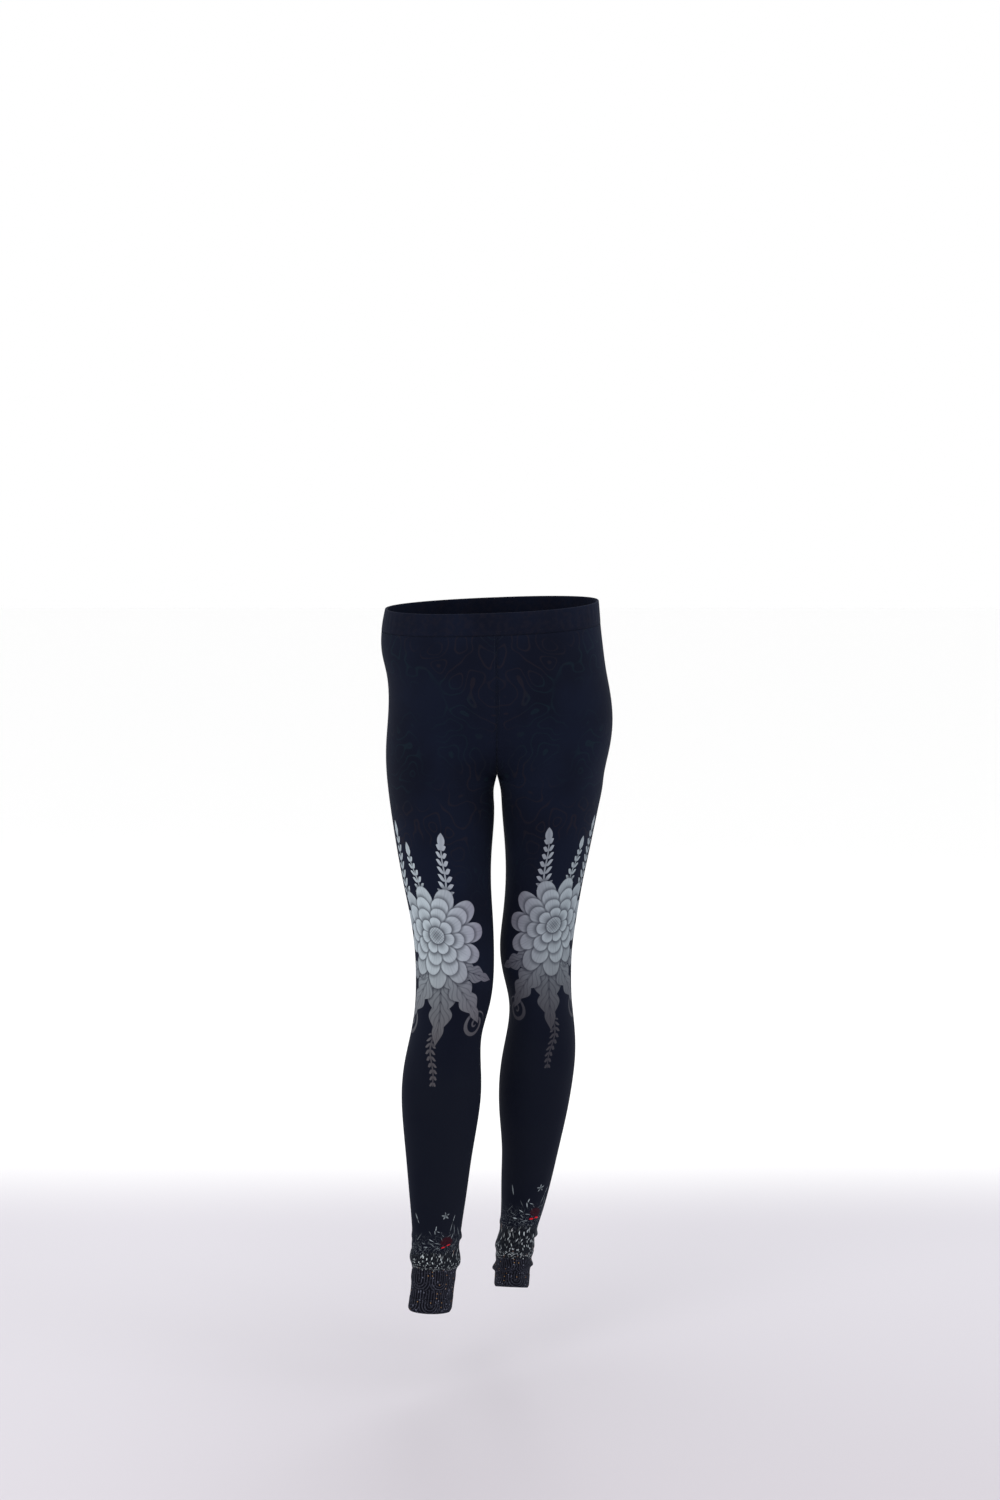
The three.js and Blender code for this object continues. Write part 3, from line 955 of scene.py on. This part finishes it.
def cable_knit(finish, across, up):
    """Lightness of the dark cable knit and its few gold dots."""
    tier = up / CABLE_TALL
    turned = across / CABLE_WIDTH + tier.whole() * 0.5
    x = (turned.part() - 0.5) * CABLE_WIDTH
    low = (tier.part() * -CABLE_TALL + CABLE_BEND).most(0.0)
    reach = (x * x + low * low).root()
    cord = reach / CORD_PITCH
    ring = abs(cord.part() - 0.5).above(0.30, 0.47)
    step = (up + abs(x) * 0.8) / BEAD_PITCH
    beads = (0.40 - abs(step.part() - 0.5)).above(-0.10, 0.16)
    luck = finish.chance(cord.whole() + turned.whole() * 9, 3.0)
    light = ring * (beads * 0.75 + 0.25) * (luck * 0.42 + 0.10) + beads * 0.02
    row = up / DOT_UP
    column = x / DOT_ACROSS + 0.5
    dot = Motif(finish, (column.part() - 0.5) * DOT_ACROSS, (row.part() - 0.5) * DOT_UP).oval(0.85, 0.95)
    pick = finish.chance(column.whole() + turned.whole() * 5, row.whole())
    gold = dot.above(0.0, 0.6) * pick.above(0.70, 0.76)
    grain = finish.chance((across / GRAIN_ACROSS).whole(), (up / GRAIN_UP).whole())
    return light + grain.above(0.82, 1.0) * 0.24 + grain.above(0.985, 0.99) * 0.8, gold


def fleck_knit(finish, across, up):
    """Lightness and tint of the marl knit's V-shaped stitches, which are longer towards their band's top."""
    half = across / FLECK_ACROSS
    column = half.whole()
    lean = finish.chance(column, 5.0) * 1.7 - 0.7
    high = (up - CABLE_TOP).most(0.0)
    run = high / (high * FLECK_GROWTH + FLECK_UP) + (half.part() - 0.5) * lean + lean * 3
    stroke = (0.22 - abs(run.part() - 0.5)).above(-0.12, 0.08)
    stroke = stroke * (0.46 - abs(half.part() - 0.5)).above(0.0, 0.14)
    pick = finish.chance(column, run.whole())
    tint = finish.chance(run.whole(), column + 31)
    return stroke * (pick.above(0.57, 0.97) + 0.02), tint


def ankle_twigs(finish, x, y):
    """How much of the twigs' pale ink covers the cloth."""
    motif = Motif(finish, ((x + TWIG_START) / TWIG_REPEAT).part() * TWIG_REPEAT - TWIG_START, y)
    ink = 0.0
    for row in TWIGS:
        inside = motif.at(row["x"], row["y"], row["turn"]).stroke(row["long"], row["wide"])
        ink = (inside.above(-0.1, 0.5) * row["light"]).most(ink)
    blossom = motif.at(*BLOSSOM)
    off = abs((blossom.y.angle_with(blossom.x) * (5 / TAU) + 0.2).part() - 0.5) * 2
    reach = blossom.radius() / ((1 - off * 0.93) * 8.0)
    petal = (1 - reach).above(0.0, 0.3) * (reach * 0.6 + 0.06)
    return ink.most(petal), motif


def berries(motif):
    """Two red strokes and the dark red leaf over them."""
    low = motif.at(-5, -2.5, 22).oval(4.0, 1.7)
    high = motif.at(5, 2, 14).oval(4.4, 1.8)
    leaf = motif.at(0, 12, 10).oval(12.0, 10.0)
    return low.most(high).above(-0.3, 0.5), leaf.above(-0.5, 3.0)


# Where the legs' looks change on the flat cloth: the heights over which the navy turns bluer, the hips'
# scrolls come in, the knee's taupe turns silver and the mesh of twigs thins out, and, from the inner side
# outwards, where the silver brightens
NAVY_CHANGE = (330.0, 620.0)
SCROLL_CHANGE = (560.0, 700.0)
SILVER_CHANGE = (395.0, 560.0)
TWIG_MESH_TALL = 40.0
INNER_CHANGE = (-105.0, 5.0)


def plain_knit(finish, across, up):
    """The bump of the jersey's wales and courses, by millimetres across and up."""
    wales = (across * (TAU / WALE)).sine()
    courses = (up * (TAU / COURSE)).sine() * 0.5
    return finish.bump(wales + courses, 0.05, 0.35)


def leg_finish():
    """The printed jersey of both legs and their hems."""
    finish = Finish("printed_jersey", Roughness=0.82, Sheen_Weight=0.04, **JERSEY)
    across, up = finish.flat_cloth()
    place = finish.place()
    cloud = finish.noise(place, 9.0, 3.0)
    navy = finish.blend(up.above(*NAVY_CHANGE), NAVY_LOW, NAVY)
    cloth = finish.blend(cloud.above(0.30, 0.64), NAVY_DEEP, navy)
    x, _, _ = finish.split(place)
    flat = finish.add("ShaderNodeCombineXYZ", {}, (across * MM, up * MM, 0.0))
    scroll = (0.12 - abs((finish.noise(flat, 30.0, 0.5) * 7).part() - 0.5)).above(0.0, 0.07)
    scroll = scroll * up.above(*SCROLL_CHANGE) * finish.noise(flat, 13.0, 1.0).above(0.38, 0.56)
    tone = finish.blend(finish.noise(flat, 8.0, 0.0).above(0.46, 0.54), TONE_LINE, TONE_COOL)
    cloth = finish.blend(scroll * 0.5, cloth, tone)

    flower = knee_flower(finish, across, up)
    fade = up.above(*SILVER_CHANGE)
    patch = finish.noise(place, 38.0, 3.0) * 0.30 + 0.84
    leg_side = x.above(-MM, MM)
    # Painted light and shade on the print: it is made lighter on the right leg and darker on the left, the
    # more so lower down.
    wear_and_painted_light = finish.between(leg_side, fade * -0.30 + 1.42, fade * 0.24 + 0.56)
    light = (flower.light * patch * wear_and_painted_light * (fade * 0.42 + 0.58)).most(0.0).least(1.0)
    silver = finish.blend(across.above(*INNER_CHANGE), SILVER_INNER, SILVER)
    ink = finish.blend(fade, finish.blend(light, TAUPE_DEEP, TAUPE), finish.blend(light, SILVER_DEEP, silver))
    cloth = finish.blend(flower.cover * (fade * 0.25 + 0.72), cloth, ink)

    height = up + (finish.noise(place, 70.0, 2.0) - 0.5) * 7
    to_berries = (across - finish.between(leg_side, BERRIES_RIGHT, BERRIES_LEFT)) * (leg_side * 2 - 1)
    twigs, motif = ankle_twigs(finish, to_berries, up - BERRIES_UP)
    frayed = finish.noise(place, 210.0, 2.0)
    mesh = (0.07 - abs((frayed * 5).part() - 0.5)).above(0.0, 0.05)
    mesh = mesh * (TWIG_TOP - up).above(0.0, TWIG_MESH_TALL) * 0.34
    cloth = finish.blend(twigs.most(mesh) * frayed.above(0.34, 0.50), cloth, TWIG)
    level = motif.x * leg_side * BERRIES_LEVEL_LEFT
    red, dark_red = berries(Motif(finish, motif.x, motif.y + level))
    cloth = finish.blend(dark_red * 0.85, cloth, BERRY_DEEP)
    cloth = finish.blend(red, cloth, BERRY)

    fleck, pick = fleck_knit(finish, across, up)
    tint = finish.blend(pick.above(0.90, 0.94), MARL_LIGHT, MARL_WARM)
    in_fleck = (FLECK_TOP + pick * 12 - 6 - height).above(-1.0, 1.5)
    cloth = finish.blend(in_fleck, cloth, finish.blend(fleck.least(1.0), MARL_DARK, tint))
    cable, gold = cable_knit(finish, across, up)
    in_cable = (CABLE_TOP - height).above(0.0, 2.0)
    knit = finish.blend(gold, finish.blend(cable.most(0.0).least(1.0), CUFF_DARK, CUFF_LIGHT), GOLD)
    cloth = finish.blend(in_cable, cloth, knit)

    raised = finish.between(in_cable, fleck * in_fleck, cable)
    finish.show(
        Base_Color=cloth,
        Roughness=0.84 - flower.cover * 0.12,
        Normal=finish.bump(raised, 0.35, 0.5, plain_knit(finish, across, up)),
    )
    return finish.material


def plain_jersey(name, colour, sheen):
    """The unprinted jersey, as on the waistband and the inside."""
    finish = Finish(name, Roughness=0.86, Sheen_Weight=sheen, **JERSEY)
    place = finish.place()
    x, y, z = finish.split(place)
    cloud = finish.noise(place, 12.0, 3.0)
    # Random patches of wear, a little paler and warmer than the jersey.
    wear_and_painted_light = finish.noise(place, 160.0, 2.0).above(0.40, 0.70) * 0.25
    colour_here = finish.blend(cloud.above(0.32, 0.70), NAVY_DEEP, colour)
    finish.show(
        Base_Color=finish.blend(wear_and_painted_light, colour_here, TONE_LINE),
        Roughness=cloud * 0.10 + 0.80,
        Normal=plain_knit(finish, (x - y) / MM, z / MM),
    )
    return finish.material


def thread_finish():
    """Two-ply sewing thread."""
    finish = Finish("thread", Roughness=0.6, Specular_IOR_Level=0.2)
    x, _, z = finish.split(finish.place())
    plies = ((x + z) * (TAU / (THREAD_PLY * MM))).sine() * 0.5 + 0.5
    # Painted shade: the thread is coloured darker in the grooves between its plies.
    finish.show(Base_Color=finish.blend(plies, NAVY_DEEP, THREAD), Normal=finish.bump(plies, 0.08, 0.6))
    return finish.material


def overlock_finish():
    """The seam allowance, wrapped in slanting threads."""
    finish = Finish("overlock", Roughness=0.75, Specular_IOR_Level=0.15)
    x, y, z = finish.split(finish.place())
    wraps = ((z + y + abs(x) * 0.6) * (TAU / (WRAP_PITCH * MM))).sine() * 0.5 + 0.5
    finish.show(Base_Color=finish.blend(wraps, NAVY_DEEP, REVERSE), Normal=finish.bump(wraps, 0.5, 0.8))
    return finish.material


# The twin-needle rows that hold the waistband's and the hems' edges, by millimetres from the edge, and the
# stitch; its bend, end, slim and dip are shares of its length or thickness
BAND_ROWS = (24.6, 27.8)
HEM_ROWS = (15.2, 18.2)
STITCH_PITCH = 3.3
STITCH_LONG = 2.5
STITCH_THICK = 0.55
STITCH_PROUD = 0.12
STITCH_BEND = 0.26
STITCH_END = 0.45
STITCH_SLIM = 0.45
STITCH_DIP = 0.55


def stitch_model():
    """One stitch along X: a thread that dips into the cloth at both ends."""
    bpy.ops.object.select_all(action="DESELECT")
    bpy.ops.mesh.primitive_cylinder_add(
        vertices=6, radius=STITCH_THICK / 2 * MM, depth=STITCH_LONG * MM, end_fill_type="NGON",
        rotation=(0, math.pi / 2, 0),
    )
    stitch = bpy.context.object
    bpy.ops.object.transform_apply(location=False, rotation=True, scale=False)
    bpy.ops.object.mode_set(mode="EDIT")
    bpy.ops.mesh.select_all(action="SELECT")
    for end in (1, -1):
        bend = (end * STITCH_LONG * STITCH_BEND * MM, 0, 0)
        bpy.ops.mesh.bisect(plane_co=bend, plane_no=(1, 0, 0), use_fill=False)
        bpy.ops.mesh.select_all(action="SELECT")
    bpy.ops.object.mode_set(mode="OBJECT")
    for vertex in stitch.data.vertices:
        vertex.select = abs(vertex.co.x) > STITCH_LONG * STITCH_END * MM
    bpy.ops.object.mode_set(mode="EDIT")
    bpy.ops.transform.resize(value=(1, STITCH_SLIM, STITCH_SLIM))
    bpy.ops.transform.translate(value=(0, 0, -STITCH_THICK * STITCH_DIP * MM))
    bpy.ops.object.mode_set(mode="OBJECT")
    bpy.ops.object.shade_smooth()
    return stitch


def stitch_line(points, outward):
    """Places for stitches on a closed line: an origin and its three directions each, evenly spaced."""
    line, outward = closed(points), closed(outward)
    along = way_round(line[None])[0]
    count = round(along[-1] / STITCH_PITCH)
    spots = np.arange(count) * along[-1] / count

    def on_line(values, spots):
        return np.stack([np.interp(spots, along, values[:, k]) for k in range(3)], -1)

    origin = on_line(line, spots)
    tangent = unit(on_line(line, (spots + 0.5) % along[-1]) - origin)
    up = on_line(outward, spots)
    up = unit(up - tangent * np.sum(up * tangent, -1, keepdims=True))
    return origin + up * STITCH_PROUD, tangent, np.cross(up, tangent), up


def stitch_rows(name, lines):
    """All the stitches of one piece in one mesh, each a copy of the modelled stitch."""
    model = stitch_model()
    shape = np.array([v.co for v in model.data.vertices]) / MM
    shape_faces = [list(p.vertices) for p in model.data.polygons]
    bpy.data.objects.remove(model)
    points, faces = [], []
    for line in lines:
        for origin, *directions in zip(*line):
            start = len(points)
            points.extend(origin + shape @ np.stack(directions))
            faces.extend([start + v for v in face] for face in shape_faces)
    return new_mesh(name, points, faces)


def outer_line(form, share, down, proud):
    """A closed line on one side's surface and its outward directions."""
    line = form.points(share, down + 0 * share, proud)
    beyond = form.points(share, down + 0 * share, proud + 1.0)
    return line, beyond - line


def band_stitches():
    lines = []
    for down in BAND_ROWS:
        right, left = (outer_line(FORMS[side["name"]], BAND_SHARE, down, BAND_PROUD) for side in SIDES)
        lines.append(stitch_line(*(np.concatenate([one[::-1], other]) for one, other in zip(right, left))))
    return stitch_rows("waistband_stitches", lines)


def hem_stitches(side):
    form = FORMS[side["name"]]
    lines = [stitch_line(*outer_line(form, HEM_SHARE, side["bottom"] - up, HEM_PROUD)) for up in HEM_ROWS]
    return stitch_rows("hem_stitches_" + side["name"], lines)


# Putting the garment together
inside = plain_jersey("jersey_inside", REVERSE, 0.03)
band_jersey = plain_jersey("jersey_waistband", NAVY, 0.05)
printed = leg_finish()
thread = thread_finish()

band = waistband()
band_rows = band_stitches()
rise = rise_seam()
band.data.materials.append(band_jersey)
band_rows.data.materials.append(thread)
rise.data.materials.append(overlock_finish())
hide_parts("waistband")
for piece in (band, band_rows, rise):
    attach(piece, "root")
for side in SIDES:
    leg = leg_cloth(side)
    cuff = hem_band(side)
    cuff_rows = hem_stitches(side)
    leg.data.materials.append(printed)
    leg.data.materials.append(inside)
    cuff.data.materials.append(printed)
    cuff_rows.data.materials.append(thread)
    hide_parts("leg_" + side["name"])
    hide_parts("hem_" + side["name"])
    for piece in (leg, cuff, cuff_rows):
        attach(piece, "root")


# The studio: a pale floor that runs out to white, with painted shade near the camera and painted light on its
# left, soft light all round and the camera
FLOOR_DOWN = -1.078
FLOOR_BACK = 4
FLOOR_SIZE = 16
FLOOR_CELLS = 24
NEAR_FLOOR_PAINTED_SHADE = srgb(195, 190, 197)
MID_FLOOR_PAINTED_SHADE = srgb(208, 205, 212)
FAR_FLOOR = srgb(254, 254, 254)
LEFT_FLOOR_PAINTED_LIGHT = srgb(224, 221, 228)
LIGHTS = entries("name place size power colour", [
    ("key", (-1.6, -2.6, 1.6), 1.6, 26, (1.0, 0.98, 0.97)),
    ("side", (2.4, -1.2, 0.4), 1.4, 12, (0.93, 0.96, 1.0)),
    ("back", (0.6, 2.6, 1.4), 1.8, 14, (1.0, 1.0, 1.0)),
])
LIGHT_AIM = (0, 0, -0.5)
CAMERA_PLACE = (0.004, -4.130, 0.365)
CAMERA_DOWNWARDS = 7.775
LENS = 73.3
SENSOR_HEIGHT = 36


def floor():
    bpy.ops.object.select_all(action="DESELECT")
    bpy.ops.mesh.primitive_grid_add(
        x_subdivisions=FLOOR_CELLS, y_subdivisions=FLOOR_CELLS, size=FLOOR_SIZE,
        location=(0, FLOOR_BACK, FLOOR_DOWN),
    )
    ground = bpy.context.object
    ground.name = "studio_floor"
    bpy.ops.object.transform_apply(location=True, rotation=False, scale=False)
    finish = Finish("floor", Roughness=0.55, Specular_IOR_Level=0.25)
    place = finish.place()
    x, y, _ = finish.split(place)
    # Painted shade and light on the floor: darker near the camera, lighter towards the back and on the left
    # side.
    near = finish.blend(y.above(-0.9, 0.7), NEAR_FLOOR_PAINTED_SHADE, MID_FLOOR_PAINTED_SHADE)
    near = finish.blend((-x).above(0.0, 0.7) * 0.4, near, LEFT_FLOOR_PAINTED_LIGHT)
    finish.show(
        Base_Color=finish.blend(y.above(0.62, 1.30) ** 1.3, near, FAR_FLOOR),
        Roughness=finish.noise(place, 0.8, 2.0) * 0.1 + 0.5,
    )
    ground.data.materials.append(finish.material)


def soft_light(row):
    data = bpy.data.lights.new(row["name"], "AREA")
    data.shape = "SQUARE"
    data.size = row["size"]
    data.energy = row["power"]
    data.color = row["colour"]
    lamp = bpy.data.objects.new(row["name"], data)
    lamp.location = row["place"]
    lamp.rotation_euler = (Vector(LIGHT_AIM) - Vector(row["place"])).to_track_quat("-Z", "Y").to_euler()
    bpy.context.collection.objects.link(lamp)


def studio():
    floor()
    scene = bpy.context.scene
    world = bpy.data.worlds.new("studio")
    world.use_nodes = True
    background = world.node_tree.nodes["Background"]
    background.inputs["Color"].default_value = (1.0, 1.0, 1.0, 1.0)
    background.inputs["Strength"].default_value = 1.0
    scene.world = world
    for row in LIGHTS:
        soft_light(row)
    data = bpy.data.cameras.new("camera")
    data.sensor_fit = "VERTICAL"
    data.sensor_height = SENSOR_HEIGHT
    data.lens = LENS
    camera = bpy.data.objects.new("camera", data)
    camera.location = CAMERA_PLACE
    camera.rotation_euler = (math.radians(90 - CAMERA_DOWNWARDS), 0, 0)
    bpy.context.collection.objects.link(camera)
    scene.camera = camera
    scene.view_settings.view_transform = "Standard"
    scene.view_settings.look = "None"


studio()
